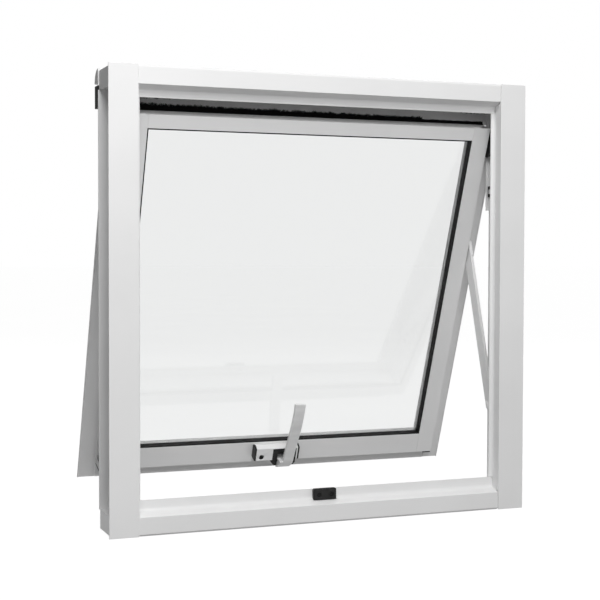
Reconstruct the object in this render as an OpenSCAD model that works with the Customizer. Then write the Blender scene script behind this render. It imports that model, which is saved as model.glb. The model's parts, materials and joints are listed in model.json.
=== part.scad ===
// Top-hung projecting window: an outer frame, a glazed sash that swings out on two
// stays, two nylon shoes that slide down in tracks, and a lever handle with its keeper.
// Millimetres. +X right seen from the room, +Y out of the room, +Z up.
// Origin: centre of the sill's underside (middle of the frame's width and depth).
// Stored pose: the sash stands open at open_angle.

/* [Frame] */
// overall width of the frame
frame_w = 600; // [450:10:900]
// overall height of the frame
frame_h = 600; // [480:10:900]
// depth of the frame, room face to outer face
frame_d = 58; // [54:1:80]
// wall thickness of the frame profiles
frame_wall = 1.6; // [1.2:0.1:2.4]
// width of the jamb's room-side face
jamb_face = 39; // [30:1:50]
// height of the head's and sill's room-side face
rail_face = 24.5; // [20:0.5:30]
// how far the jamb faces stand proud of the head and sill
face_step = 1; // [0.5:0.1:2]
// depth from the jamb face to the lip that the sash shuts behind
lip_y = 18; // [14:1:22]
// reach of the jamb lip from the outer edge
jamb_lip = 45; // [42:1:50]
// reach of the head lip from the outer edge
head_lip = 39.5; // [36:0.5:44]
// reach of the sill lip from the outer edge
sill_lip = 44; // [40:1:46]
// depth of the wall channel in the outer side of each jamb
channel_w = 23.4; // [18:0.2:24]
// height of the head's and sill's hollow box
box_h = 28; // [26:1:30]
// height of the upstand at the outer edge of the sill
upstand_h = 36; // [32:1:40]
// height of the drip hood's band on the outer face of the head
hood_h = 22; // [16:1:28]
// how far the drip hood stands out
hood_out = 19; // [12:1:24]
// distance from the frame's top down to the foot of the hood's apron
apron_h = 50; // [30:1:52]
// radius of the wall-anchor holes in the jambs
anchor_r = 2.6; // [2:0.1:4]
// height of each anchor hole above the sill or below the head
anchor_z = 80; // [70:1:95]

/* [Sash] */
// opening angle of the sash in the stored pose
open_angle = 20.34; // [0:0.01:30]
// gap between the sash's side and the frame's outer side
side_gap = 36; // [34:1:60]
// shut sash: distance from the frame's top to the sash's top
top_gap = 33.8; // [33:0.1:60]
// shut sash: distance from the frame's bottom to the sash body's bottom
bottom_gap = 46; // [44:0.1:60]
// shut sash: distance from the jamb face back to the sash's room face
shut_y = 38.8; // [34:0.1:50]
// depth of the sash, room face to outer face
sash_d = 25; // [22:0.5:34]
// wall thickness of the sash profiles
sash_wall = 1.5; // [1.2:0.1:2]
// width of the stile's room-side face
stile_face = 25.5; // [20:0.5:34]
// height of the top rail's room-side face
top_face = 18.5; // [16:0.5:30]
// height of the bottom rail's room-side face
bottom_face = 31.5; // [28:0.5:40]
// depth of the hollow tube at the stile's outer side
stile_tube = 13; // [11:0.5:15]
// height of the hollow tube in the top rail
top_tube = 7; // [6:0.5:8]
// height of the hollow tube in the bottom rail
bottom_tube = 19; // [16:0.5:20]
// overhang of the outer flange beyond the sash's sides
flange_w = 25; // [20:0.5:26]
// overhang of the outer flange below the sash
foot_flange_w = 22.5; // [20:0.5:26]
// length cut off the top of each side flange
flange_cut = 14; // [12:1:20]
// depth of the lip that holds the glass from the room side
rebate_lip = 6.4; // [5:0.1:8]
// thickness of the glass
glass_t = 4; // [3:0.5:6]
// depth of the glass edge inside the profile
glass_bite = 10; // [8:0.5:11]
// how far the black gasket shows round the glass
gasket_show = 2; // [1:0.5:3]

/* [Stays] */
// distance from the sash's top to the shoe pivot
shoe_drop = 12; // [11:0.5:16]
// distance from the sash's room face back to the pivots
pivot_in = 11; // [9:0.5:13]
// distance from the sash's top to the stay's pivot on the sash
stay_drop = 181; // [140:1:220]
// height of the stay's lower pivot above the frame's bottom
stay_foot_z = 145.5; // [120:0.5:180]
// distance from the jamb face back to the stay's lower pivot
stay_foot_y = 38.5; // [34:0.5:44]
// width of the stay
stay_w = 18; // [14:1:18]
// thickness of the stay
stay_t = 5; // [4:0.5:6]
// radius of the rivets and pins that the pivots turn on
pivot_r = 3; // [2.5:0.1:3.5]
// radial clearance of a running pivot
run_gap = 0.06; // [0.02:0.01:0.1]
// radial clearance at the stay pivot that closes the linkage
open_pivot_gap = 0.3; // [0.2:0.05:0.5]
// length of each shoe track
track_len = 145; // [130:1:150]
// width of the shoe track
track_w = 15.8; // [14:0.1:16]
// wall thickness of the track
track_wall = 1.2; // [1:0.1:1.6]
// side play of the shoe in the track, each way
shoe_play = 1.3; // [1:0.1:2]
// length of the shoe below its pivot
shoe_tail = 32.5; // [26:0.5:34]

/* [Handle] */
// length of the lever from its pivot to its tip
lever_len = 111; // [90:1:120]
// width of the lever
lever_w = 16; // [12:1:18]
// thickness of the lever's blade
blade_t = 5; // [4:0.5:6]
// distance from the sash's centre line to the lever's centre line
lever_x = 14; // [10:1:16]
// half the length of the handle bracket
bracket_half = 35; // [34:1:42]
// depth of the handle bracket
bracket_d = 13; // [12:0.5:15]
// half the width of the notch that the lever turns in
notch_half = 18.5; // [17:0.5:19]
// radius of the lever's pivot pin
lever_pin_r = 1.8; // [1.5:0.1:2]

/* [Keeper] */
// length of the keeper block on the sill
keeper_len = 33; // [26:1:40]
// height of the keeper block
keeper_h = 16.5; // [14:0.5:18]
// how far the keeper stands out into the room
keeper_out = 7; // [5:0.5:9]

/* [Output] */
// which sub-part to draw

/* [Hidden] */
$fn = 64;
eps = 0.01;
side = [-1, 1];

// frame
half_w = frame_w / 2;
face_x = half_w - jamb_face;
web_x = half_w - channel_w - frame_wall;
cove_r = 5;
ledge_rise = 4.5;
box_inset = 3;
cap_t = 1.5;
lip_back_y = lip_y + frame_wall;
bevel = 2.5;
hood_t = 1.4;
hood_seal_w = 10;
hood_seal_top = frame_h - max(hood_h, hood_out);
rivet_r = 1.6;

// sash body, in its own axes: x right, y back from its room face, z down is negative
sash_half = half_w - side_gap;
sash_h = frame_h - top_gap - bottom_gap;
glass_y = rebate_lip + 1.6;
glass_back_y = glass_y + glass_t;
flange_y = sash_d - 1.6;
bead_y = glass_back_y + 1.6;
flange_end = sash_h + foot_flange_w;
sill_seal_z = min(bottom_gap - foot_flange_w + 6, upstand_h - 3);

// linkage, in the plane across the pivots
shoe_y = shut_y + pivot_in;
link_drop = stay_drop - shoe_drop;
shut_stay_z = frame_h - top_gap - stay_drop;
stay_len = norm([shoe_y - stay_foot_y, shut_stay_z - stay_foot_z]);
stay_angle = asin((shoe_y - stay_foot_y + link_drop * sin(open_angle)) / stay_len);
stay_pin_z = stay_foot_z + stay_len * cos(stay_angle);
shoe_z = stay_pin_z + link_drop * cos(open_angle);
sash_y = shoe_y - shoe_drop * sin(open_angle) - pivot_in * cos(open_angle);
sash_z = shoe_z + shoe_drop * cos(open_angle) - pivot_in * sin(open_angle);

// stays and shoes, measured along x from the sash's side
stay_x = sash_half + 2;
stay_outer_x = stay_x + stay_t;
rivet_head_r = 5;
rivet_head_t = 1.2;
track_x = web_x - 5.7;
track_top_z = frame_h - box_h - 2;
track_bottom_z = track_top_z - track_len;
shoe_half = 6.6;
slider_half = track_w / 2 - track_wall - shoe_play;
stop_t = 2;
foot_plate_t = 2.8;
foot_plate_half = 9.5;

// handle, in the sash's axes
bracket_top = sash_h - 30;
bracket_bottom = sash_h - 7.5;
hub_v = sash_h - 1.7;
hub_top = 8;
hub_foot = 8.5;
pin_rise = 3.8;
pivot_v = hub_v - pin_rise;
pivot_w = 10;
hub_r = pivot_w - 0.3;
screw_x = -24;
screw_v = sash_h - 13;
hub_side = 4.2;
lever_gap = 0.8;
liner_foot = sash_h + 1.8;
liner_top = bracket_top + 4.5;
notch_x = lever_x - 2;

// fasteners
screw_r = 1.8;
head_r = 3.4;
head_t = 1.6;
access_r = 5.5;
white = [0.93, 0.93, 0.92];
black = [0.06, 0.06, 0.06];
steel = [0.72, 0.73, 0.74];
nylon = [0.12, 0.12, 0.13];

// ---------- helpers ----------

// moves frame coordinates measured from the room face to the part's origin
module place() {
    translate([0, -frame_d / 2, 0]) children();
}

// puts the sash's own axes in the frame
module on_sash() {
    place() translate([0, sash_y, sash_z]) rotate([open_angle, 0, 0]) children();
}

// a round bar along +X from x0 to x1, centred on y, z
module rod_x(x0, x1, y, z, r) {
    translate([x0, y, z]) rotate([0, 90, 0]) cylinder(r = r, h = x1 - x0);
}

// a box from one corner to the opposite one
module span(low, high) {
    translate(low) cube(high - low);
}

// extrudes a section drawn in y, z along X from x0 to x1
module along_x(x0, x1) {
    translate([x0, 0, 0]) rotate([90, 0, 90]) linear_extrude(x1 - x0) children();
}

// a rectangular ring round the sash's sight line, out behind the profile and show in over the glass
module sash_ring(out, show, y0, y1) {
    x = sash_half - stile_face;
    low = -sash_h + bottom_face;
    difference() {
        span([-x - out, y0, low - out], [x + out, y1, -top_face + out]);
        span([-x + show, y0 - 1, low + show], [x - show, y1 + 1, -top_face - show]);
    }
}

// draws its children on the right and mirrored on the left
module both_sides() {
    children();
    mirror([1, 0, 0]) children();
}

// a pan-head screw along +Z: shank below z = 0, head above
module pan_screw(length, r = screw_r) {
    translate([0, 0, -length]) cylinder(r = r, h = length + eps);
    cylinder(r1 = head_r, r2 = head_r - 0.6, h = head_t);
}

// ---------- frame ----------

// the cove at the foot of the lip, drawn gap away from its true surface
function cove_points(gap) = [
    for (a = [0:15:90]) [
        lip_y - cove_r + (cove_r - gap) * cos(a),
        rail_face + ledge_rise + cove_r - (cove_r - gap) * sin(a)
    ]
];

// section of the head and sill: y back from the jamb face, z in from the outer edge
module rail_section(lip, upstand) {
    difference() {
        polygon(concat(
            [[frame_d, 0], [frame_d, upstand], [frame_d - frame_wall, upstand]],
            [[frame_d - frame_wall, box_h], [lip_back_y, box_h], [lip_back_y, lip], [lip_y, lip]],
            cove_points(0),
            [[face_step, rail_face], [face_step, bevel], [face_step + bevel, 0]]
        ));
        polygon([
            [face_step + frame_wall, bevel + 1],
            [face_step + frame_wall + bevel, frame_wall],
            [frame_d - frame_wall, frame_wall],
            [frame_d - frame_wall, box_h - frame_wall],
            [lip_y, box_h - frame_wall],
            [face_step + frame_wall, rail_face - 1.2]
        ]);
    }
}

// the head's and sill's ends, which pass behind the jamb faces
module rail_ends() {
    for (s = side) {
        along_x(s > 0 ? face_x : -half_w + box_inset, s > 0 ? half_w - box_inset : -face_x)
            difference() {
                translate([frame_wall, box_inset])
                    square([frame_d - frame_wall, box_h - box_inset]);
                translate([2 * frame_wall, box_inset + frame_wall])
                    square([frame_d - 3 * frame_wall, box_h - box_inset - 2 * frame_wall]);
            }
    }
}

module sill_body() {
    along_x(-face_x, face_x) rail_section(sill_lip, upstand_h);
    rail_ends();
}

module head_body() {
    along_x(-face_x, face_x) rail_section(head_lip, box_h);
    rail_ends();
}

// section of a jamb behind its face: x in from the outer edge, y back from the face
module jamb_section() {
    translate([jamb_face - frame_wall, frame_wall - eps])
        square([frame_wall, lip_y - frame_wall + 2 * eps]);
    translate([channel_w, lip_y]) square([jamb_face - channel_w, frame_wall]);
    translate([channel_w, frame_wall - eps]) square([frame_wall, frame_d - frame_wall + eps]);
    translate([0, frame_d - frame_wall]) square([channel_w + frame_wall, frame_wall]);
}

// the lip that the sash shuts behind, with its cove
module jamb_lip_section() {
    difference() {
        translate([jamb_face - eps, lip_y - cove_r])
            square([jamb_lip - jamb_face + eps, cove_r + frame_wall]);
        translate([jamb_face + cove_r, lip_y - cove_r]) circle(r = cove_r);
        translate([jamb_face + cove_r, lip_y - 2 * cove_r]) square([cove_r, 2 * cove_r]);
    }
}

// one jamb, drawn for the left side
module jamb() {
    difference() {
        translate([-half_w, 0, 0]) {
            cube([jamb_face, frame_wall, frame_h]);
            translate([0, 0, box_h]) linear_extrude(frame_h - 2 * box_h) jamb_section();
            translate([0, 0, sill_lip])
                linear_extrude(frame_h - sill_lip - head_lip) jamb_lip_section();
        }
        for (z = [anchor_z, frame_h - anchor_z])
            rod_x(-web_x - frame_wall - 1, -web_x + 1, lip_y + 9, z, anchor_r);
        for (z = foot_screw_z())
            rod_x(-web_x - frame_wall - 1, -web_x + 1, stay_foot_y + 2, z, screw_r);
        for (z = track_screw_z())
            rod_x(-web_x - frame_wall - 1, -web_x + 1, shoe_y, z, screw_r);
        for (z = [box_h + 12, frame_h - box_h - 12])
            rod_x(-web_x - frame_wall - 1, -web_x + 1, lip_back_y + 7, z, screw_r);
    }
}

function foot_screw_z() = [stay_foot_z - 18, stay_foot_z - 31];
function track_screw_z() = [track_bottom_z + 27, track_top_z - head_r - 0.2];

module jamb_left() { color(white) place() jamb(); }

module jamb_right() { color(white) place() mirror([1, 0, 0]) jamb(); }

module sill() {
    color(white) place() difference() {
        sill_body();
        for (s = side) translate([s * (web_x - 13), lip_back_y + 7, box_h - 4])
            cylinder(r = screw_r, h = 6);
        for (s = side) translate([s * keeper_len * 0.28, lip_y - 1, keeper_mid()])
            rotate([-90, 0, 0]) cylinder(r = screw_r, h = frame_wall + 2);
    }
}

module head() {
    color(white) place() translate([0, 0, frame_h]) mirror([0, 0, 1]) difference() {
        head_body();
        for (s = side) translate([s * (web_x - 13), lip_back_y + 7, box_h - 4])
            cylinder(r = screw_r, h = 6);
        for (x = hood_rivet_x()) translate([x, frame_d - frame_wall - 1, hood_h - 7])
            rotate([-90, 0, 0]) cylinder(r = rivet_r, h = frame_wall + 2);
    }
}

// thin plates that close the four open ends of the head and sill
module box_end_caps() {
    color(white) place()
        for (x = [-half_w + box_inset - cap_t, half_w - box_inset], z = [box_inset, frame_h - box_h])
            span([x, frame_wall, z], [x + cap_t, frame_d, z + box_h - box_inset]);
}

// one angle that joins a jamb to the sill, drawn at the right-hand corner
module cleat() {
    translate([web_x - 2, lip_back_y + 1, box_h]) difference() {
        union() {
            cube([2, 12, 20]);
            translate([-18, 0, 0]) cube([20, 12, 2]);
        }
        rod_x(-1, 3, 6, 12, screw_r);
        translate([-11, 6, -1]) cylinder(r = screw_r, h = 4);
    }
}

module corners() {
    both_sides() {
        children();
        translate([0, 0, frame_h]) mirror([0, 0, 1]) children();
    }
}

module frame_cleats() { color(steel) place() corners() cleat(); }

module frame_cleat_screws() {
    color(steel) place() corners() {
        translate([web_x - 2, lip_back_y + 7, box_h + 12]) rotate([0, -90, 0]) pan_screw(6);
        translate([web_x - 13, lip_back_y + 7, box_h + 2]) pan_screw(6);
    }
}

function hood_rivet_x() = [-0.8 * half_w, -0.27 * half_w, 0.27 * half_w, 0.8 * half_w];

// sheet hood: a band on the head's outer face, a quarter bend with closed ends, and a hanging apron
module drip_hood() {
    color(white) place() difference() {
        union() {
            along_x(-half_w, half_w) {
                translate([frame_d, frame_h - hood_h]) square([hood_t, hood_h]);
                translate([frame_d, frame_h - hood_out]) intersection() {
                    difference() {
                        circle(r = hood_out);
                        circle(r = hood_out - hood_t);
                    }
                    square(hood_out);
                }
            }
            for (x = [-half_w, half_w - hood_t]) along_x(x, x + hood_t)
                translate([frame_d, frame_h - hood_out]) intersection() {
                    circle(r = hood_out);
                    square(hood_out);
                }
            along_x(-half_w + hood_seal_w, half_w - hood_seal_w)
                translate([frame_d + hood_out - hood_t, frame_h - apron_h])
                    square([hood_t, apron_h - hood_out + eps]);
        }
        for (x = hood_rivet_x()) translate([x, frame_d - 1, frame_h - hood_h + 7])
            rotate([-90, 0, 0]) cylinder(r = rivet_r, h = hood_t + 2);
    }
}

module hood_rivets() {
    color(white) place()
        for (x = hood_rivet_x()) translate([x, frame_d, frame_h - hood_h + 7]) {
            translate([0, hood_t, 0]) rotate([-90, 0, 0]) cylinder(r1 = 3, r2 = 2.2, h = 1);
            translate([0, -3, 0]) rotate([-90, 0, 0]) cylinder(r = rivet_r, h = 3 + hood_t + eps);
        }
}

// soft block that closes the gap under the hood's right-hand end
module hood_seal() {
    span([half_w - hood_seal_w, frame_d + hood_t, hood_seal_top - 29],
        [half_w, frame_d + hood_out - hood_t, hood_seal_top]);
}

module hood_seal_left() { color(black) place() mirror([1, 0, 0]) hood_seal(); }

module hood_seal_right() { color(black) place() hood_seal(); }

// brush strip under the head; its backing strip and the solid core of the bristles
module head_pile() {
    color(black) place() {
        span([-web_x + 20, 32.6, frame_h - box_h - 1.2], [web_x - 20, 37, frame_h - box_h]);
        span([-web_x + 20, 33.3, frame_h - box_h - 11], [web_x - 20, 36.3, frame_h - box_h - 1.2]);
    }
}

// bulb seal on the frame's outer edge, pressed by the sash flange when shut
module rear_seal(length) {
    height = shut_y + flange_y - frame_d - 0.4;
    translate([-2.5, 0, 0]) cube([5, 1, length]);
    translate([0, height / 2, 0]) cylinder(d = height, h = length);
}

module rear_seal_left() {
    color(black) place() translate([-half_w + 15, frame_d, box_h + 2])
        rear_seal(frame_h - top_gap - flange_cut - box_h - 10);
}

module rear_seal_right() {
    color(black) place() translate([half_w - 15, frame_d, box_h + 2])
        rear_seal(frame_h - top_gap - flange_cut - box_h - 10);
}

module rear_seal_sill() {
    length = frame_w - 40;
    color(black) place() translate([-length / 2, frame_d, sill_seal_z])
        rotate([0, 90, 0]) rear_seal(length);
}

// ---------- tracks and stay feet ----------

// one shoe track, drawn for the right side
module track() {
    difference() {
        translate([track_x, shoe_y - track_w / 2, track_bottom_z])
            cube([web_x - track_x, track_w, track_len]);
        translate([track_x - 1, shoe_y - track_w / 2 + track_wall, track_bottom_z - 1])
            cube([web_x - track_x - track_wall + 1, track_w - 2 * track_wall, track_len + 2]);
        for (z = track_screw_z()) rod_x(web_x - 3, web_x + 1, shoe_y, z, screw_r);
    }
}

module track_left() { color(white) place() mirror([1, 0, 0]) track(); }

module track_right() { color(white) place() track(); }

module track_screws() {
    color(steel) place() both_sides() {
        translate([web_x - track_wall - stop_t, shoe_y, track_screw_z()[0]])
            rotate([0, -90, 0]) pan_screw(5 + stop_t);
        translate([web_x - track_wall, shoe_y, track_screw_z()[1]])
            rotate([0, -90, 0]) pan_screw(5);
    }
}

// nylon stop near the foot of each track
module track_stops() {
    color(nylon) place() both_sides()
        translate([web_x - track_wall - stop_t, shoe_y, track_screw_z()[0]]) difference() {
            translate([0, -6, -8]) cube([stop_t, 12, 16]);
            rod_x(-1, stop_t + 1, 0, 0, screw_r);
        }
}

// plate on the jamb web that carries the stay's lower pivot, drawn for the right side
module foot_bracket() {
    x = web_x - foot_plate_t;
    difference() {
        union() {
            span([x, stay_foot_y - foot_plate_half, stay_foot_z - 40],
                [web_x, stay_foot_y + foot_plate_half, stay_foot_z]);
            rod_x(x, web_x, stay_foot_y, stay_foot_z, foot_plate_half);
        }
        rod_x(x - 1, web_x + 1, stay_foot_y, stay_foot_z, pivot_r);
        for (z = foot_screw_z()) rod_x(x - 1, web_x + 1, stay_foot_y + 2, z, screw_r);
    }
}

module foot_bracket_left() { color(steel) place() mirror([1, 0, 0]) foot_bracket(); }

module foot_bracket_right() { color(steel) place() foot_bracket(); }

module foot_bracket_screws() {
    color(nylon) place() both_sides() for (z = foot_screw_z())
        translate([web_x - foot_plate_t, stay_foot_y + 2, z]) rotate([0, -90, 0]) pan_screw(6);
}

// rivets that the stays turn on at the jamb
module foot_rivets() {
    color(steel) place() both_sides() {
        rod_x(stay_x - 0.2 - rivet_head_t, stay_x - 0.2, stay_foot_y, stay_foot_z, rivet_head_r);
        rod_x(stay_x - 0.2 - eps, web_x, stay_foot_y, stay_foot_z, pivot_r);
    }
}

module foot_washers() {
    color(nylon) place() both_sides() difference() {
        rod_x(stay_outer_x + 0.1, web_x - foot_plate_t, stay_foot_y, stay_foot_z, 6.5);
        rod_x(stay_x, web_x, stay_foot_y, stay_foot_z, pivot_r);
    }
}

// ---------- keeper ----------

function keeper_mid() = sill_lip - keeper_h / 2 + 0.5;

module keeper_shape(inset) {
    round_r = 2.5;
    x = keeper_len / 2 - inset - round_r;
    z = keeper_h / 2 - inset - round_r;
    hull() for (i = side, j = side) translate([i * x, j * z]) circle(r = round_r, $fn = 32);
}

// moulded keeper block on the room side of the sill lip, shaped to the ledge and cove under it
module keeper() {
    chamfer = 1.5;
    gap = 0.1;
    color(black) place() difference() {
        translate([0, lip_y, keeper_mid()]) rotate([90, 0, 0]) difference() {
            union() {
                linear_extrude(keeper_out - chamfer) keeper_shape(0);
                translate([0, 0, keeper_out - chamfer - eps]) linear_extrude(chamfer + eps)
                    keeper_shape(chamfer);
            }
            for (s = side) translate([s * keeper_len * 0.28, 0, -1]) {
                cylinder(r = screw_r, h = keeper_out + 2);
                translate([0, 0, keeper_out - 1]) cylinder(r = head_r, h = 3);
            }
        }
        along_x(-keeper_len, keeper_len) polygon(concat(
            [[lip_y + 1, 0], [lip_y + 1, rail_face + ledge_rise + cove_r]],
            cove_points(gap),
            [[face_step, rail_face + gap], [face_step, 0]]
        ));
    }
}

module keeper_screws() {
    color(nylon) place()
        for (s = side) translate([s * keeper_len * 0.28, lip_y, keeper_mid()]) rotate([90, 0, 0]) {
            translate([0, 0, -3]) cylinder(r = screw_r, h = keeper_out + 1.2);
            translate([0, 0, keeper_out - 2]) cylinder(r1 = screw_r, r2 = head_r - 0.6, h = 1.2);
        }
}

// ---------- stays and shoes ----------

// a stay drawn along +Z from its foot; the foot bore runs on the jamb's rivet
module stay(upper_gap) {
    difference() {
        union() {
            span([stay_x, -stay_w / 2, 0], [stay_outer_x, stay_w / 2, stay_len]);
            for (z = [0, stay_len]) rod_x(stay_x, stay_outer_x, 0, z, stay_w / 2);
        }
        rod_x(stay_x - 1, stay_outer_x + 1, 0, 0, pivot_r + run_gap);
        rod_x(stay_x - 1, stay_outer_x + 1, 0, stay_len, pivot_r + upper_gap);
        span([stay_x + 1.6, -stay_w / 2 - 1, stay_w],
            [stay_outer_x + 1, -stay_w / 2 + 1.2, stay_len - stay_w]);
    }
}

module at_foot() {
    place() translate([0, stay_foot_y, stay_foot_z]) rotate([-stay_angle, 0, 0]) children();
}

module stay_left() { color(white) at_foot() mirror([1, 0, 0]) stay(open_pivot_gap); }

module stay_right() { color(white) at_foot() stay(run_gap); }

// nylon shoe that hangs on the sash's pin and slides in the track
module shoe() {
    top = 8;
    translate([0, shoe_y, shoe_z]) difference() {
        union() {
            span([sash_half + 2.2, -shoe_half, -shoe_tail + shoe_half], [track_x - 0.3, shoe_half, top]);
            rod_x(sash_half + 2.2, track_x - 0.3, 0, -shoe_tail + shoe_half, shoe_half);
            span([track_x - 0.3 - eps, -slider_half, -shoe_tail + 2],
                [web_x - track_wall - 0.4, slider_half, top]);
        }
        rod_x(sash_half, web_x, 0, 0, pivot_r + run_gap);
    }
}

module shoe_left() { color(nylon) place() mirror([1, 0, 0]) shoe(); }

module shoe_right() { color(nylon) place() shoe(); }

// ---------- sash ----------

// section of a sash member: x in from its outer edge, y back from its room face
module sash_section(face, tube) {
    w = sash_wall;
    difference() {
        union() {
            square([face, rebate_lip]);
            square([tube, sash_d]);
        }
        translate([w, w]) square([tube - 2 * w, sash_d - 2 * w]);
        translate([tube, w]) square([face - tube - w, rebate_lip - 2 * w]);
    }
}

// an outer flange of width w with its stiffened tip
module flange_section(w) {
    translate([-w, flange_y]) square([w + eps, sash_d - flange_y]);
    translate([-w, flange_y - 1]) square([1.6, 1 + eps]);
}

// left stile; z = 0 is the sash's top
module stile() {
    difference() {
        translate([-sash_half, 0, -sash_h]) linear_extrude(sash_h)
            sash_section(stile_face, stile_tube);
        rod_x(-sash_half - 1, -sash_half + 3, pivot_in, -shoe_drop, pivot_r);
        rod_x(-sash_half - 1, -sash_half + 3, pivot_in, -stay_drop, pivot_r);
        for (p = sash_screw_at()) {
            rod_x(-sash_half - 1, -sash_half + stile_tube + 1, p[0], p[1], screw_r);
            if (p[2] > 0) rod_x(-sash_half - 1, -sash_half + sash_wall + 1, p[0], p[1], access_r);
        }
    }
    translate([-sash_half, 0, -flange_end]) linear_extrude(flange_end - flange_cut)
        flange_section(flange_w);
}

// screws that hold each stile to the rails: depth, height, and how far the head is inside the stile
function sash_screw_at() = [
    [sash_d - 7.5, -top_tube / 2, 0],
    [pivot_in + 1, -sash_h + bottom_tube / 2 + 2, stile_tube - sash_wall]
];

module sash_stile_left() { color(white) on_sash() stile(); }

module sash_stile_right() { color(white) on_sash() mirror([1, 0, 0]) stile(); }

module sash_top_rail() {
    x = sash_half - stile_face;
    color(white) on_sash() mirror([0, 0, 1]) {
        along_x(-x, x) rotate(90) mirror([0, 1]) sash_section(top_face, top_tube);
        for (s = side) along_x(s > 0 ? x : -sash_half + stile_tube, s > 0 ? sash_half - stile_tube : -x)
            difference() {
                translate([rebate_lip, 0]) square([sash_d - rebate_lip, top_tube]);
                translate([rebate_lip + sash_wall, sash_wall])
                    square([sash_d - rebate_lip - 2 * sash_wall, top_tube - 2 * sash_wall]);
            }
    }
}

module sash_bottom_rail() {
    x = sash_half - stile_face;
    color(white) on_sash() translate([0, 0, -sash_h]) {
        difference() {
            along_x(-x, x) rotate(90) mirror([0, 1]) sash_section(bottom_face, bottom_tube);
            translate([screw_x, -1, sash_h - screw_v]) rotate([-90, 0, 0])
                cylinder(r = screw_r, h = sash_wall + 2);
        }
        along_x(-sash_half + 0.3, sash_half - 0.3) rotate(90) mirror([0, 1])
            flange_section(foot_flange_w);
        for (s = side) along_x(s > 0 ? x : -sash_half + stile_tube, s > 0 ? sash_half - stile_tube : -x)
            difference() {
                translate([rebate_lip, 0]) square([sash_d - rebate_lip, bottom_tube]);
                translate([rebate_lip + sash_wall, sash_wall])
                    square([sash_d - rebate_lip - 2 * sash_wall, bottom_tube - 2 * sash_wall]);
            }
    }
}

// long screws through each stile into the rails; the lower pair's heads are inside the stile
module sash_screws() {
    color(steel) on_sash() both_sides() for (p = sash_screw_at())
        translate([sash_half - p[2], p[0], p[1]]) rotate([0, 90, 0]) {
            translate([0, 0, -34]) cylinder(r = screw_r - 0.05, h = 34 + eps);
            cylinder(r1 = 3, r2 = 2.4, h = 1.2);
        }
}

// plugs in the open lower ends of the stiles
module stile_plugs() {
    g = 0.1;
    color(black) on_sash() both_sides() {
        span([sash_half - stile_tube, 1, -sash_h - 2.5], [sash_half - 0.2, flange_y - 0.3, -sash_h]);
        span([sash_half - stile_tube + sash_wall + g, sash_wall + g, -sash_h - eps],
            [sash_half - sash_wall - g, sash_d - sash_wall - g, -sash_h + 4]);
    }
}

module glass_pane() {
    x = sash_half - stile_face + glass_bite;
    color([0.85, 0.92, 0.93, 0.4]) on_sash()
        span([-x, glass_y, -sash_h + bottom_face - glass_bite], [x, glass_back_y, -top_face + glass_bite]);
}

module inner_gasket() {
    color(black) on_sash() {
        sash_ring(0, gasket_show, 0.6, glass_y);
        sash_ring(glass_bite - 3, gasket_show, rebate_lip, glass_y);
    }
}

module outer_gasket() {
    color(black) on_sash()
        sash_ring(glass_bite - 3, 1, glass_back_y, bead_y);
}

// hollow glazing bead section: x across, y deep
module bead_section(w, d) {
    difference() {
        square([w, d]);
        translate([1.2, 1.2]) square([w - 2.4, d - 2.4]);
    }
}

module bead_side() {
    w = stile_face - stile_tube - 0.5;
    translate([-sash_half + stile_tube, bead_y, -sash_h + bottom_face]) linear_extrude(
        sash_h - bottom_face - top_face) bead_section(w, sash_d - 0.6 - bead_y);
}

module bead_left() { color(white) on_sash() bead_side(); }

module bead_right() { color(white) on_sash() mirror([1, 0, 0]) bead_side(); }

module bead_top() {
    x = sash_half - stile_tube;
    color(white) on_sash() along_x(-x, x)
        translate([bead_y, -top_face + 0.05]) mirror([1, 0]) rotate(90)
            bead_section(top_face - top_tube - 0.05, sash_d - 0.6 - bead_y);
}

module bead_bottom() {
    x = sash_half - stile_tube;
    color(white) on_sash() along_x(-x, x)
        translate([bead_y, -sash_h + bottom_tube]) mirror([1, 0]) rotate(90)
            bead_section(bottom_face - bottom_tube - 0.05, sash_d - 0.6 - bead_y);
}

// rubber blocks that carry the glass
module setting_blocks() {
    color(black) on_sash() for (s = side) translate([s * sash_half * 0.55, 0, 0])
        span([-25, glass_y, -sash_h + bottom_tube], [25, glass_back_y, -sash_h + bottom_face - glass_bite]);
}

// brush strip on the sash's top rear edge; backing strip and bristle core
module sash_top_pile() {
    x = sash_half - 1;
    color(black) on_sash() {
        span([-x, sash_d - 4.2, 0], [x, sash_d, 1.2]);
        span([-x, sash_d - 3.2, 1.2], [x, sash_d - 1, 5]);
    }
}

// pins pressed in the stiles, which the shoes hang on
module shoe_pins() {
    color(steel) on_sash() both_sides() {
        rod_x(sash_half - sash_wall, web_x - track_wall - 0.6, pivot_in, -shoe_drop, pivot_r);
        rod_x(sash_half - sash_wall - 1.5, sash_half - sash_wall, pivot_in, -shoe_drop, 4.2);
    }
}

// rivets through the stiles that the stays turn on
module stay_rivets() {
    color(steel) on_sash() both_sides() {
        rod_x(sash_half - sash_wall, stay_outer_x + 0.2 + eps, pivot_in, -stay_drop, pivot_r);
        rod_x(sash_half - sash_wall - 1.5, sash_half - sash_wall, pivot_in, -stay_drop, 4.2);
        rod_x(stay_outer_x + 0.2, stay_outer_x + 0.2 + rivet_head_t, pivot_in, -stay_drop, rivet_head_r);
    }
}

module stay_washers() {
    color(nylon) on_sash() both_sides() difference() {
        rod_x(sash_half, stay_x - 0.1, pivot_in, -stay_drop, 6);
        rod_x(sash_half - 1, stay_x, pivot_in, -stay_drop, pivot_r);
    }
}

// ---------- handle ----------

// outline of the bracket from the side: y toward the room is negative, z is minus the drop
module bracket_outline() {
    polygon([
        [0, -bracket_bottom + 1.5], [-bracket_d, -bracket_bottom], [-bracket_d, -bracket_top - 3],
        [-5.5, -bracket_top], [0, -bracket_top - 1.5]
    ]);
}

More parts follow.
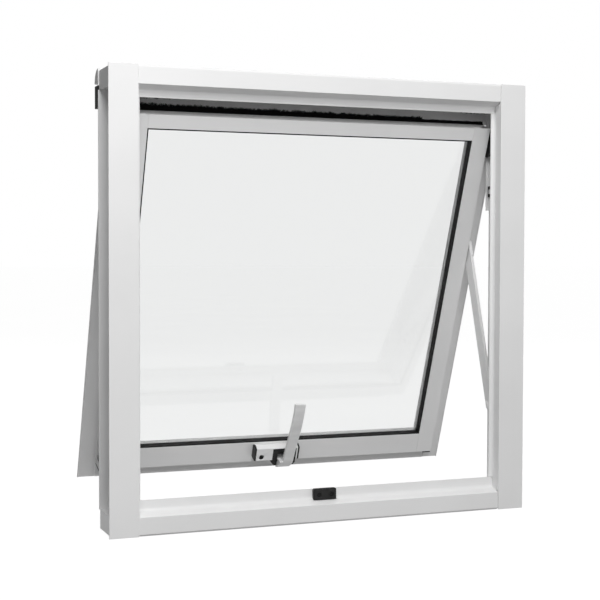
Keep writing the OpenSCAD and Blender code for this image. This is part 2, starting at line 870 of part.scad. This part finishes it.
module handle_bracket() {
    x = bracket_half - 2.5;
    color([0.86, 0.86, 0.87]) on_sash() difference() {
        along_x(-x, x) bracket_outline();
        span([notch_x - notch_half, -bracket_d - 1, -sash_h], [notch_x + notch_half, 1, -liner_top]);
        translate([screw_x, 1, -screw_v]) rotate([90, 0, 0]) {
            cylinder(r = screw_r, h = 30);
            translate([0, 0, bracket_d - 4]) cylinder(r = 3.8, h = 10);
        }
    }
}

module handle_end_caps() {
    color(black) on_sash() for (s = side)
        along_x(s > 0 ? bracket_half - 2.5 : -bracket_half, s > 0 ? bracket_half : -bracket_half + 2.5)
            bracket_outline();
}

// black moulded liner in the notch; it carries the lever's pin
module handle_liner() {
    x = notch_half - 0.05;
    color(black) on_sash() translate([notch_x, 0, 0]) difference() {
        span([-x, -bracket_d + 0.2, -liner_foot], [x, 0, -liner_top - 0.05]);
        span([lever_x - notch_x - lever_w / 2 - hub_side - lever_gap, -bracket_d - 1, -liner_foot - 1],
            [lever_x - notch_x + lever_w / 2 + lever_gap, 1, -liner_top - 8.5]);
        rod_x(-x - 1, x + 1, -pivot_w, -pivot_v, lever_pin_r);
        for (s = side) translate([s * x, -bracket_d, -liner_foot]) rotate([0, 45, 0])
            cube([5, 40, 5], center = true);
    }
}

module handle_screw() {
    color(black) on_sash() translate([screw_x, -bracket_d + 4, -screw_v]) rotate([90, 0, 0]) {
        translate([0, 0, -14]) cylinder(r = screw_r, h = 14 + eps);
        difference() {
            cylinder(r = head_r, h = 3.2);
            translate([0, 0, 1.8]) cylinder(r = 1.4, h = 2, $fn = 6);
        }
    }
}

module lever_pin() {
    x = notch_half - 2;
    color(nylon) on_sash() rod_x(notch_x - x, notch_x + x, -pivot_w, -pivot_v, lever_pin_r);
}

// the blade's room face: how far it stands off the sash at height z above the hub's middle
function blade_y(z) = -25.5 - 17 * sin(90 * pow((z - 10) / (lever_len - 19), 1.25));

// side outline of the lever: hub with a flat top, a back that turns clear of the rail, and the blade
module lever_outline() {
    steps = [for (i = [0:14]) 10 + i * (lever_len - 10) / 14];
    translate([0, -hub_v]) polygon(concat(
        [for (z = steps) [blade_y(z), z]],
        [for (i = [14:-1:1]) [blade_y(steps[i]) + blade_t, steps[i]]],
        [[-19.4, 10.4], [-18.4, hub_top]],
        [for (a = [24:-14:-60]) [-pivot_w + hub_r * cos(a), pin_rise + hub_r * sin(a)]],
        [[-9, -hub_foot], [-14.5, -5.4], [-20, 0], [-23.4, 5]]
    ));
}

// the hub's own outline, which stands out on the left of the blade
module hub_outline() {
    intersection() {
        lever_outline();
        translate([-lever_len, -hub_v - lever_len]) square([2 * lever_len, lever_len + hub_top]);
    }
}

module lever() {
    color([0.86, 0.86, 0.87]) on_sash() difference() {
        union() {
            along_x(lever_x - lever_w / 2, lever_x + lever_w / 2) lever_outline();
            along_x(lever_x - lever_w / 2 - hub_side, lever_x) hub_outline();
        }
        rod_x(lever_x - lever_w, lever_x + lever_w, -pivot_w, -pivot_v, lever_pin_r + run_gap);
    }
}

jamb_left();
jamb_right();
head();
sill();
box_end_caps();
frame_cleats();
frame_cleat_screws();
drip_hood();
hood_rivets();
hood_seal_left();
hood_seal_right();
head_pile();
rear_seal_left();
rear_seal_right();
rear_seal_sill();
track_left();
track_right();
track_screws();
track_stops();
foot_bracket_left();
foot_bracket_right();
foot_bracket_screws();
foot_rivets();
foot_washers();
keeper();
keeper_screws();
stay_left();
stay_right();
shoe_left();
shoe_right();
sash_stile_left();
sash_stile_right();
sash_top_rail();
sash_bottom_rail();
sash_screws();
stile_plugs();
glass_pane();
inner_gasket();
outer_gasket();
bead_left();
bead_right();
bead_top();
bead_bottom();
setting_blocks();
sash_top_pile();
shoe_pins();
stay_rivets();
stay_washers();
handle_bracket();
handle_end_caps();
handle_liner();
handle_screw();
lever_pin();
lever();
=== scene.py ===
"""Top-hung projecting window: white outer frame, glazed sash on side stays, cam lever handle."""
import json
import math
import random

import bmesh
import bpy
from mathutils import Matrix, Vector

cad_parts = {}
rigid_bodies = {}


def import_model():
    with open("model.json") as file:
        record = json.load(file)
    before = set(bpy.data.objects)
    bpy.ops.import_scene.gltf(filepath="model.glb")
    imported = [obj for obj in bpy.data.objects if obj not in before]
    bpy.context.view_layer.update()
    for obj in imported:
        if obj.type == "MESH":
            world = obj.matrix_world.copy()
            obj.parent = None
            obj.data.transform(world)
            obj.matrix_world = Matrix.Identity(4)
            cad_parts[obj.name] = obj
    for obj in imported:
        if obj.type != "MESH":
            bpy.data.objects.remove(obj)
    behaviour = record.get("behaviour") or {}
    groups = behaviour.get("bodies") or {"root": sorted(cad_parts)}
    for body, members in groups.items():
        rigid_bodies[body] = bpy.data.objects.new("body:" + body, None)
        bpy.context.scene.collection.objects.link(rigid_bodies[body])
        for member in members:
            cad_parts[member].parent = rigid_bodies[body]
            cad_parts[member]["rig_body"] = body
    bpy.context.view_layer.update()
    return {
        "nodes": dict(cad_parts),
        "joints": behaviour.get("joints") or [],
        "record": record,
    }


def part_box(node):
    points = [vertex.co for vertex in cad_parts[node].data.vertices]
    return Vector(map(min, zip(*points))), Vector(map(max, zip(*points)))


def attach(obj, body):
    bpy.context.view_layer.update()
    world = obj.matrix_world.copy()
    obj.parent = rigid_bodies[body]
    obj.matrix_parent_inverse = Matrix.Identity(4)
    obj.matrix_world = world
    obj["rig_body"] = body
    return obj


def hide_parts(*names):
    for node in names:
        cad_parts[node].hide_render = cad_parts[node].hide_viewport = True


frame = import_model()
NODES = frame["nodes"]
JOINTS = {joint["name"]: joint for joint in frame["joints"]}
MM = 0.001
WELD = 1e-6


# ---------- the sash's own axes: x right, back from its room face, down from its top ----------

PIVOT_BACK = 11 * MM
PIVOT_DOWN = 12 * MM
SASH_HALF = 264 * MM
SASH_HEIGHT = 520.2 * MM
SASH_DEPTH = 25 * MM
STILE_FACE = 25.5 * MM
TOP_FACE = 18.5 * MM
BOTTOM_FACE = 31.5 * MM
GLASS_BACK = 8 * MM
shoe_pin = Vector(JOINTS["shoe_right_pivot"]["pos_m"])
stay_pin = Vector(JOINTS["sash_pivot"]["pos_m"])
DOWN = Vector((0, stay_pin.y - shoe_pin.y, stay_pin.z - shoe_pin.z)).normalized()
BACK = Vector((0, -DOWN.z, DOWN.y))
SASH_TOP = Vector((0, shoe_pin.y, shoe_pin.z)) - DOWN * PIVOT_DOWN - BACK * PIVOT_BACK


def on_sash(x, back, down):
    """A point given in the sash's axes, in the part's frame."""
    return SASH_TOP + Vector((x, 0, 0)) + BACK * back + DOWN * down


# ---------- materials ----------

class Look:
    """A node material with a Principled shader and short ways to add noise to it."""

    def __init__(self, name, color, roughness, metallic=0.0):
        self.material = bpy.data.materials.new(name)
        self.material.use_nodes = True
        self.tree = self.material.node_tree
        self.shader = self.tree.nodes["Principled BSDF"]
        self.shader.inputs["Base Color"].default_value = (*color, 1)
        self.shader.inputs["Roughness"].default_value = roughness
        self.shader.inputs["Metallic"].default_value = metallic
        self.place = self.tree.nodes.new("ShaderNodeTexCoord").outputs["Object"]

    def set(self, **values):
        for name, value in values.items():
            self.shader.inputs[name.replace("_", " ")].default_value = value
        return self

    def noise(self, scale, detail=3.0, stretch=(1, 1, 1)):
        mapping = self.tree.nodes.new("ShaderNodeMapping")
        mapping.inputs["Scale"].default_value = stretch
        self.tree.links.new(self.place, mapping.inputs["Vector"])
        noise = self.tree.nodes.new("ShaderNodeTexNoise")
        noise.inputs["Scale"].default_value = scale
        noise.inputs["Detail"].default_value = detail
        self.tree.links.new(mapping.outputs["Vector"], noise.inputs["Vector"])
        return noise.outputs["Fac"]

    def vary_color(self, source, dark, light):
        ramp = self.tree.nodes.new("ShaderNodeValToRGB")
        ramp.color_ramp.elements[0].position = 0.3
        ramp.color_ramp.elements[0].color = (*dark, 1)
        ramp.color_ramp.elements[1].position = 0.7
        ramp.color_ramp.elements[1].color = (*light, 1)
        self.tree.links.new(source, ramp.inputs["Fac"])
        self.tree.links.new(ramp.outputs["Color"], self.shader.inputs["Base Color"])
        return self

    def vary_roughness(self, source, low, high):
        spread = self.tree.nodes.new("ShaderNodeMapRange")
        spread.inputs["To Min"].default_value = low
        spread.inputs["To Max"].default_value = high
        self.tree.links.new(source, spread.inputs["Value"])
        self.tree.links.new(spread.outputs["Result"], self.shader.inputs["Roughness"])
        return self

    def bump(self, source, strength, distance):
        bump = self.tree.nodes.new("ShaderNodeBump")
        bump.inputs["Strength"].default_value = strength
        bump.inputs["Distance"].default_value = distance
        self.tree.links.new(source, bump.inputs["Height"])
        self.tree.links.new(bump.outputs["Normal"], self.shader.inputs["Normal"])
        return self


def gray(value):
    return (value, value, value)


def powder_coat(name, tone):
    """White powder coat: faint orange peel and a slight drift in tone."""
    look = Look(name, gray(tone), 0.36)
    look.vary_color(look.noise(9, 4), gray(tone * 0.975), gray(tone * 1.02))
    look.vary_roughness(look.noise(60, 5), 0.28, 0.42)
    look.bump(look.noise(620, 2), 0.10, 0.00012)
    return look.material


def moulded(name, tone, roughness, grain):
    """Black moulded plastic or rubber with a fine grain."""
    look = Look(name, gray(tone), roughness)
    look.shader.inputs["Specular IOR Level"].default_value = 0.22
    look.vary_color(look.noise(55, 5), gray(tone * 0.7), gray(tone * 1.5))
    look.vary_roughness(look.noise(140, 4), roughness - 0.1, roughness + 0.12)
    look.bump(look.noise(grain, 3), 0.18, 0.0001)
    return look.material


def metal(name, tone, roughness, metallic, stretch):
    """Drawn or plated metal with faint streaks along the working direction."""
    look = Look(name, gray(tone), roughness, metallic)
    look.vary_color(look.noise(90, 4, stretch), gray(tone * 0.92), gray(tone * 1.05))
    look.vary_roughness(look.noise(240, 4, stretch), roughness - 0.07, roughness + 0.09)
    look.bump(look.noise(800, 2, stretch), 0.06, 0.00008)
    return look.material


def clear_glass():
    look = Look("clear_glass", (0.828, 0.835, 0.833), 0.0)
    look.set(Transmission_Weight=1.0, IOR=1.45)
    look.vary_roughness(look.noise(3, 2), 0.0, 0.006)
    return look.material


def bristle_black():
    look = Look("bristle_black", gray(0.002), 0.9)
    look.shader.inputs["Specular IOR Level"].default_value = 0.1
    look.vary_color(look.noise(500, 3), gray(0.001), gray(0.006))
    look.bump(look.noise(2500, 2), 0.2, 0.00005)
    return look.material


PAINT = powder_coat("frame_white", 0.80)
SASH_PAINT = powder_coat("sash_white", 0.80)
HOOD_PAINT = powder_coat("hood_white", 0.78)
STAY_PAINT = powder_coat("stay_white", 0.80)
RUBBER = moulded("gasket_black", 0.004, 0.5, 1500)
NYLON = moulded("nylon_black", 0.013, 0.42, 2200)
SCREW_BLACK = moulded("screw_black", 0.004, 0.35, 900)
BRISTLE = bristle_black()
ZINC = metal("zinc_plate", 0.62, 0.34, 1.0, (1, 1, 0.2))
SILVER = metal("silver_lacquer", 0.78, 0.42, 0.10, (0.25, 1, 1))
GLASS = clear_glass()

SLOT_LOOKS = {
    "frame_paint": PAINT, "sash_paint": SASH_PAINT, "hood_paint": HOOD_PAINT,
    "stay_paint": STAY_PAINT, "black_rubber": RUBBER, "brush": BRISTLE,
    "black_nylon": NYLON, "black_screw": SCREW_BLACK, "fixings": ZINC,
    "glass": GLASS, "handle": SILVER,
}
SLOT_OF = {part["node"]: part["material_slot"] for part in frame["record"]["subparts"]}


def dress(piece, material):
    piece.data.materials.clear()
    piece.data.materials.append(material)


for node_name, node_object in NODES.items():
    dress(node_object, SLOT_LOOKS[SLOT_OF[node_name]])


# ---------- mesh tools ----------

def add_piece(name, bm, body, slot, smooth_angle=None):
    """Turns a bmesh into a piece that rides on a body, with the slot's material."""
    mesh = bpy.data.meshes.new(name)
    bmesh.ops.recalc_face_normals(bm, faces=bm.faces)
    bm.to_mesh(mesh)
    bm.free()
    piece = bpy.data.objects.new(name, mesh)
    bpy.context.scene.collection.objects.link(piece)
    dress(piece, SLOT_LOOKS[slot])
    if smooth_angle is not None:
        mesh.shade_smooth()
        mesh.set_sharp_from_angle(angle=math.radians(smooth_angle))
    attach(piece, body)
    return piece


def rounded(node, width, segments=2, angle=30):
    """Stands for a CAD node with the same solid, its edges eased as extrusion and paint leave them."""
    source = NODES[node]
    bm = bmesh.new()
    bm.from_mesh(source.data)
    bmesh.ops.remove_doubles(bm, verts=bm.verts, dist=WELD)
    bmesh.ops.dissolve_limit(bm, angle_limit=math.radians(0.5), verts=bm.verts, edges=bm.edges)
    piece = add_piece(node + "_skin", bm, source["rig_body"], SLOT_OF[node])
    bevel = piece.modifiers.new("eased_edges", "BEVEL")
    bevel.width = width
    bevel.segments = segments
    bevel.limit_method = "ANGLE"
    bevel.angle_limit = math.radians(angle)
    bevel.use_clamp_overlap = False
    bevel.harden_normals = True
    piece.data.shade_smooth()
    piece.data.set_sharp_from_angle(angle=math.radians(angle))
    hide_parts(node)
    return piece


def cut(piece, cutter):
    """Cuts one mesh out of another and removes the cutter."""
    boolean = piece.modifiers.new("cut", "BOOLEAN")
    boolean.operation = "DIFFERENCE"
    boolean.solver = "EXACT"
    boolean.object = cutter
    depsgraph = bpy.context.evaluated_depsgraph_get()
    depsgraph.update()
    result = bpy.data.meshes.new_from_object(piece.evaluated_get(depsgraph))
    piece.modifiers.clear()
    piece.data = result
    bpy.data.objects.remove(cutter)


def lathe(bm, profile, origin, axis, steps=32):
    """Turns a profile of (radius, height) round an axis; closed where the radius is zero."""
    turn = Vector((0, 0, 1)).rotation_difference(axis).to_matrix()
    rings = []
    for radius, height in profile:
        if radius < 1e-7:
            rings.append([bm.verts.new(origin + turn @ Vector((0, 0, height)))])
            continue
        ring = []
        for step in range(steps):
            a = 2 * math.pi * step / steps
            spot = Vector((radius * math.cos(a), radius * math.sin(a), height))
            ring.append(bm.verts.new(origin + turn @ spot))
        rings.append(ring)
    for low, high in zip(rings, rings[1:]):
        for step in range(steps):
            after = (step + 1) % steps
            corners = [low[step % len(low)], low[after % len(low)],
                       high[after % len(high)], high[step % len(high)]]
            unique = list(dict.fromkeys(corners))
            if len(unique) > 2:
                bm.faces.new(unique)


def prism(bm, outline, origin, axis, depth):
    """A straight prism with the outline (u, v) across the axis, starting at the origin."""
    turn = Vector((0, 0, 1)).rotation_difference(axis).to_matrix()
    low = [bm.verts.new(origin + turn @ Vector((u, v, 0))) for u, v in outline]
    high = [bm.verts.new(origin + turn @ Vector((u, v, depth))) for u, v in outline]
    count = len(outline)
    bm.faces.new(low)
    bm.faces.new(high)
    for i in range(count):
        j = (i + 1) % count
        bm.faces.new([low[i], low[j], high[j], high[i]])


def cross_outline(reach, half):
    """Outline of a cross recess."""
    points = []
    for quarter in range(4):
        c, s = math.cos(quarter * math.pi / 2), math.sin(quarter * math.pi / 2)
        for u, v in ((half, half), (half, reach), (-half, reach)):
            points.append((u * c - v * s, u * s + v * c))
    return points


SHANK_RADIUS = 1.7 * MM
DOME_FOOT = 0.35
RECESS_REACH = 0.62
RECESS_HALF = 0.15
RECESS_DEPTH = 0.75


def sunk_profile(radius, height, shank):
    """A countersunk screw whose flat head is at height 0."""
    return [(0, -shank), (SHANK_RADIUS, -shank), (SHANK_RADIUS, -height), (radius, 0), (0, 0)]


def domed_profile(radius, height, shank):
    """A pan-head screw that stands on height 0."""
    angles = [i * math.pi / 12 for i in range(6)]
    dome = [(radius * math.cos(a), height * (DOME_FOOT + (1 - DOME_FOOT) * math.sin(a))) for a in angles]
    foot = [(0, -shank), (SHANK_RADIUS, -shank), (SHANK_RADIUS, 0), (radius, 0)]
    return foot + dome + [(0, height)]


def screw_heads(name, spots, axis, radius, height, body, slot, shank, sunk=False):
    """Screw heads at spots, domed or countersunk, each with a cross recess."""
    profile = sunk_profile(radius, height, shank) if sunk else domed_profile(radius, height, shank)
    top = 0 if sunk else height
    recess = cross_outline(radius * RECESS_REACH, radius * RECESS_HALF)
    bm = bmesh.new()
    cutter_bm = bmesh.new()
    for spot in spots:
        lathe(bm, profile, spot, axis)
        prism(cutter_bm, recess, spot + axis * (top - height * RECESS_DEPTH), axis, height)
    heads = add_piece(name, bm, body, slot, 35)
    cutter = add_piece(name + "_cutter", cutter_bm, body, slot)
    cut(heads, cutter)
    return heads


def ring_sweep(bm, section, half_x, top, bottom):
    """Sweeps a closed section round the glass opening with mitred corners.

    A section point is (out, back): out is away from the glass centre, back is the depth.
    """
    loops = []
    for sx, high in ((-1, True), (1, True), (1, False), (-1, False)):
        loop = []
        for out, back in section:
            down = top - out if high else bottom + out
            loop.append(bm.verts.new(on_sash(sx * (half_x + out), back, down)))
        loops.append(loop)
    count = len(section)
    for first, second in zip(loops, loops[1:] + loops[:1]):
        for i in range(count):
            j = (i + 1) % count
            bm.faces.new([first[i], first[j], second[j], second[i]])


# ---------- frame, sash and fittings with eased edges ----------

for profile_node in ("jamb_left", "jamb_right", "head", "sill", "box_end_caps"):
    rounded(profile_node, 0.45 * MM)
for profile_node in ("sash_stile_left", "sash_stile_right", "sash_top_rail", "sash_bottom_rail"):
    rounded(profile_node, 0.4 * MM)
for profile_node in ("bead_left", "bead_right", "bead_top", "bead_bottom"):
    rounded(profile_node, 0.35 * MM)
rounded("drip_hood", 0.3 * MM)
for part_name in ("track_left", "track_right"):
    rounded(part_name, 0.25 * MM)
for part_name in ("stay_left", "stay_right"):
    rounded(part_name, 0.5 * MM, 3)
for part_name in ("foot_bracket_left", "foot_bracket_right", "frame_cleats"):
    rounded(part_name, 0.3 * MM)
# stile_plugs: black plugs set at the stiles' bottom ends, where only a dark gap shows; their black is
# painted shade for that gap.
for part_name in ("shoe_left", "shoe_right", "track_stops", "stile_plugs"):
    rounded(part_name, 0.5 * MM, 3)
rounded("lever", 0.9 * MM, 4)
rounded("handle_bracket", 0.5 * MM, 3)
rounded("handle_end_caps", 0.45 * MM, 3)
rounded("handle_liner", 0.5 * MM, 3)
rounded("keeper", 0.5 * MM, 3)


# ---------- fasteners with recesses ----------

def separate_parts(bm):
    """The points of each separate part of a mesh, one list a part."""
    seen = set()
    parts = []
    for start in bm.verts:
        if start.index in seen:
            continue
        points = []
        queue = [start]
        seen.add(start.index)
        while queue:
            vert = queue.pop()
            points.append(vert.co.copy())
            for edge in vert.link_edges:
                other = edge.other_vert(vert)
                if other.index not in seen:
                    seen.add(other.index)
                    queue.append(other)
        parts.append(points)
    return parts


def fastener_spots(node, axis):
    """Centres of the head faces of a node's separate screws, whose heads look along the axis."""
    bm = bmesh.new()
    bm.from_mesh(NODES[node].data)
    bmesh.ops.remove_doubles(bm, verts=bm.verts, dist=WELD)
    bm.verts.ensure_lookup_table()
    spots = []
    for points in separate_parts(bm):
        tip = max(point.dot(axis) for point in points)
        low = Vector([min(point[i] for point in points) for i in range(3)])
        high = Vector([max(point[i] for point in points) for i in range(3)])
        middle = (low + high) / 2
        spots.append(middle + axis * (tip - middle.dot(axis)))
    bm.free()
    return spots


PAN_RADIUS = 3.4 * MM
PAN_HEIGHT = 1.6 * MM


def keeper_screw_heads():
    toward_room = Vector((0, -1, 0))
    heads = screw_heads("keeper_screw_heads", fastener_spots("keeper_screws", toward_room), toward_room,
                        2.8 * MM, 1.3 * MM, "frame", "black_screw", 9 * MM, True)
    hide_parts("keeper_screws")


def handle_screw_head():
    heads = screw_heads("handle_screw_head", fastener_spots("handle_screw", -BACK), -BACK,
                        PAN_RADIUS, 2.4 * MM, "sash", "black_screw", 16 * MM, True)
    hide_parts("handle_screw")


def side_screw_heads(node_name, slot_name, side_name, sign):
    """The screws of one side of the frame; sign is the way along x that their heads look."""
    inward = Vector((sign, 0, 0))
    spots = [spot - inward * PAN_HEIGHT for spot in fastener_spots(node_name, inward) if spot.x * sign < 0]
    heads = screw_heads(node_name + "_" + side_name, spots, inward, PAN_RADIUS, PAN_HEIGHT,
                        "frame", slot_name, 5 * MM)
    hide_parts(node_name)


keeper_screw_heads()
handle_screw_head()
for side_name, sign in (("left", 1), ("right", -1)):
    side_screw_heads("foot_bracket_screws", "black_screw", side_name, sign)
    side_screw_heads("track_screws", "fixings", side_name, sign)


# ---------- glazing gasket ----------

def gasket_section():
    """The gasket's section: a round nose toward the room and a lip that lies on the glass."""
    nose_radius = 1.0
    nose_back = 1.7
    nose = [(-nose_radius * (1 + math.cos(a)), nose_back - nose_radius * math.sin(a))
            for a in [math.radians(degrees) for degrees in (0, 30, 60, 90)]]
    lip = [(0.3, GLASS_BACK / MM), (-2.3, GLASS_BACK / MM), (-2.5, 7.5), (-2.0, 6.8)]
    root = [(-0.1, 0.9), (-0.1, 6.4)]
    return [(out * MM, back * MM) for out, back in lip + nose + root]


def glazing_gasket():
    bm = bmesh.new()
    ring_sweep(bm, gasket_section(), SASH_HALF - STILE_FACE, TOP_FACE, SASH_HEIGHT - BOTTOM_FACE)
    gasket = add_piece("glazing_gasket", bm, "sash", "black_rubber", 40)
    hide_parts("inner_gasket")


glazing_gasket()


# ---------- brushes ----------

HAIR_RADIUS = 0.26 * MM
BACKING = 1.2 * MM
HAIR_PITCH = 0.5 * MM
HAIR_ROWS = 6
PILE_DEPTH = 2.0 * MM


def hair(bm, root, middle, tip, across):
    """One hair: a three-sided tube from its root to its middle, then a point."""
    rings = []
    for centre, radius in ((root, HAIR_RADIUS), (middle, HAIR_RADIUS * 0.9)):
        rings.append([bm.verts.new(centre + Vector((1, 0, 0)) * radius * math.cos(a)
                                   + across * radius * math.sin(a))
                      for a in (0.5, 2.6, 4.7)])
    point = bm.verts.new(tip)
    bm.faces.new(rings[0])
    for i in range(3):
        j = (i + 1) % 3
        bm.faces.new([rings[0][i], rings[0][j], rings[1][j], rings[1][i]])
        bm.faces.new([rings[1][i], rings[1][j], point])


def brush(name, body, spot_at, grow, across, span_x, length_at, seed):
    """A weather brush: tapered hairs in clumps, with ragged and uneven tips."""
    dice = random.Random(seed)
    bm = bmesh.new()
    x = span_x[0]
    clump = 0.0
    while x < span_x[1]:
        clump = 0.82 * clump + dice.gauss(0, 0.42)
        for row in range(HAIR_ROWS):
            root = spot_at(x + dice.uniform(-0.4, 0.4) * HAIR_PITCH, row / (HAIR_ROWS - 1) - 0.5)
            reach = max(0.8 * MM, length_at(x) * (1 + 0.10 * clump + dice.gauss(0, 0.05)))
            lean = Vector((dice.gauss(0, 0.07), 0, 0)) + across * dice.gauss(0, 0.09)
            middle = root + grow * reach * 0.55 + lean * reach * 0.35
            hair(bm, root, middle, root + grow * reach + lean * reach, across)
        x += HAIR_PITCH
    return add_piece(name, bm, body, "brush")


def box_bmesh(low, high):
    """A box between two corners."""
    bm = bmesh.new()
    result = bmesh.ops.create_cube(bm, size=1)
    for vert in result["verts"]:
        vert.co = Vector([low[i] if vert.co[i] < 0 else high[i] for i in range(3)])
    return bm


def sash_brush_length(x):
    """Long at the left end, shorter to the right, and worn down near the right end."""
    if x < 0.165:
        return (8.4 - 5 * (x + 0.263)) * MM
    return 3.6 * MM


def sash_brush():
    """The brush on the sash's top rear edge; t runs from -0.5 to 0.5 across the pile."""
    middle_back = SASH_DEPTH - 2.1 * MM
    pile = brush("sash_brush", "sash", lambda x, t: on_sash(x, middle_back + PILE_DEPTH * t, -BACKING),
                 -DOWN, BACK, (-0.2625, 0.2625), sash_brush_length, 7)
    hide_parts("sash_top_pile")


def sash_brush_backing():
    """The backing strip under the sash's brush, with its upper edges cut off."""
    front = SASH_DEPTH - 4.2 * MM
    cut_off = 0.6 * MM
    section = [(front, 0), (SASH_DEPTH, 0), (SASH_DEPTH, 0.9 * MM), (SASH_DEPTH - cut_off, 1.3 * MM),
               (front + cut_off, 1.3 * MM), (front, 0.9 * MM)]
    half_length = SASH_HALF - 1 * MM
    bm = bmesh.new()
    prism(bm, section, Vector((0, 0, 0)), Vector((0, 0, 1)), 2 * half_length)
    for vert in bm.verts:
        back, rise, along = vert.co
        vert.co = on_sash(along - half_length, back, -rise)
    add_piece("sash_brush_backing", bm, "sash", "brush")


def head_brush_length(x):
    """Longer toward both ends of the head."""
    ends = max(0.0, -0.165 - x) / 0.09 + max(0.0, x - 0.15) / 0.12
    return (7.2 + 2.9 * min(1.0, ends)) * MM


def head_brush():
    """The brush under the head; t runs from -0.5 to 0.5 across the pile."""
    low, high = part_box("head_pile")
    middle_y = (low[1] + high[1]) / 2
    root_z = high[2] - BACKING
    pile = brush("head_brush", "frame", lambda x, t: Vector((x, middle_y + PILE_DEPTH * t, root_z)),
                 Vector((0, 0, -1)), Vector((0, 1, 0)), (low[0] + MM, high[0] - MM),
                 head_brush_length, 11)
    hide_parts("head_pile")
    add_piece("head_brush_backing", box_bmesh((low[0], low[1], root_z), high), "frame", "brush")


sash_brush()
sash_brush_backing()
head_brush()


# ---------- floor, light and camera ----------

def floor():
    """A plain floor that glows a little, so that it is as pale as the surroundings."""
    bm = bmesh.new()
    bmesh.ops.create_grid(bm, x_segments=4, y_segments=4, size=40)
    mesh = bpy.data.meshes.new("floor")
    bm.to_mesh(mesh)
    bm.free()
    plane = bpy.data.objects.new("floor", mesh)
    bpy.context.scene.collection.objects.link(plane)
    look = Look("pale_floor", gray(0.1), 0.9)
    look.vary_color(look.noise(2, 2), gray(0.09), gray(0.11))
    look.set(Emission_Color=(1, 1, 1, 1), Emission_Strength=0.94)
    dress(plane, look.material)
    plane.visible_diffuse = False


AMBIENT = 0.33
AMBIENT_SLOPE = {"X": 0.24, "Y": -0.04, "Z": 0.04}


def world():
    """White surroundings for the camera; the light from them is stronger from the right."""
    world_data = bpy.data.worlds.new("studio")
    bpy.context.scene.world = world_data
    world_data.use_nodes = True
    tree = world_data.node_tree
    nodes, links = tree.nodes, tree.links
    backdrop = nodes["Background"]
    backdrop.inputs["Color"].default_value = (1, 1, 1, 1)
    backdrop.inputs["Strength"].default_value = 1.0
    direction = nodes.new("ShaderNodeTexCoord")
    parts = nodes.new("ShaderNodeSeparateXYZ")
    links.new(direction.outputs["Generated"], parts.inputs["Vector"])
    total = None
    for axis_name, weight in AMBIENT_SLOPE.items():
        scaled = nodes.new("ShaderNodeMath")
        scaled.operation = "MULTIPLY_ADD"
        scaled.inputs[1].default_value = weight
        scaled.inputs[2].default_value = AMBIENT if total is None else 0.0
        links.new(parts.outputs[axis_name], scaled.inputs[0])
        if total is not None:
            links.new(total, scaled.inputs[2])
        total = scaled.outputs["Value"]
    ambient = nodes.new("ShaderNodeBackground")
    links.new(total, ambient.inputs["Strength"])
    rays = nodes.new("ShaderNodeLightPath")
    seen = nodes.new("ShaderNodeMath")
    seen.operation = "MAXIMUM"
    links.new(rays.outputs["Is Camera Ray"], seen.inputs[0])
    links.new(rays.outputs["Is Transmission Ray"], seen.inputs[1])
    mix = nodes.new("ShaderNodeMixShader")
    links.new(seen.outputs["Value"], mix.inputs["Fac"])
    links.new(ambient.outputs["Background"], mix.inputs[1])
    links.new(backdrop.outputs["Background"], mix.inputs[2])
    links.new(mix.outputs["Shader"], nodes["World Output"].inputs["Surface"])


def softbox(name, spot, target, size, power):
    """A rectangular lamp at spot that looks at target."""
    light = bpy.data.lights.new(name, "AREA")
    light.shape = "RECTANGLE"
    light.size, light.size_y = size
    light.energy = power
    lamp = bpy.data.objects.new(name, light)
    lamp.location = spot
    lamp.rotation_euler = (Vector(target) - Vector(spot)).to_track_quat("-Z", "Y").to_euler()
    bpy.context.scene.collection.objects.link(lamp)


EYE = Vector((-0.68499, -1.66024, 0.35859))
EYE_YAW = 21.512
EYE_PITCH = -1.906
EYE_ROLL = 0.136
LENS = 79.342
SENSOR = 36


def camera():
    """The viewpoint: front left, a little above the middle."""
    yaw, pitch, roll = math.radians(EYE_YAW), math.radians(EYE_PITCH), math.radians(EYE_ROLL)
    forward = Vector((math.sin(yaw) * math.cos(pitch), math.cos(yaw) * math.cos(pitch), math.sin(pitch)))
    right = Vector((math.cos(yaw), -math.sin(yaw), 0))
    up = right.cross(forward)
    right_rolled = right * math.cos(roll) + up * math.sin(roll)
    up_rolled = up * math.cos(roll) - right * math.sin(roll)
    data = bpy.data.cameras.new("camera")
    data.sensor_width = SENSOR
    data.lens = LENS
    data.clip_end = 120
    eye = bpy.data.objects.new("camera", data)
    turn = Matrix((right_rolled, up_rolled, -forward)).transposed().to_4x4()
    eye.matrix_world = Matrix.Translation(EYE) @ turn
    bpy.context.scene.collection.objects.link(eye)
    bpy.context.scene.camera = eye


floor()
world()
softbox("key", (-0.42, -1.05, 1.70), (0, 0, 0.45), (1.0, 1.0), 21)
softbox("front_fill", (-0.3, -1.8, 0.85), (0, 0, 0.55), (0.9, 0.4), 9)
softbox("back_fill", (0.8, 2.6, 2.2), (0, 0, 0.3), (2.0, 1.4), 22)
camera()
bpy.context.scene.view_settings.view_transform = "Standard"
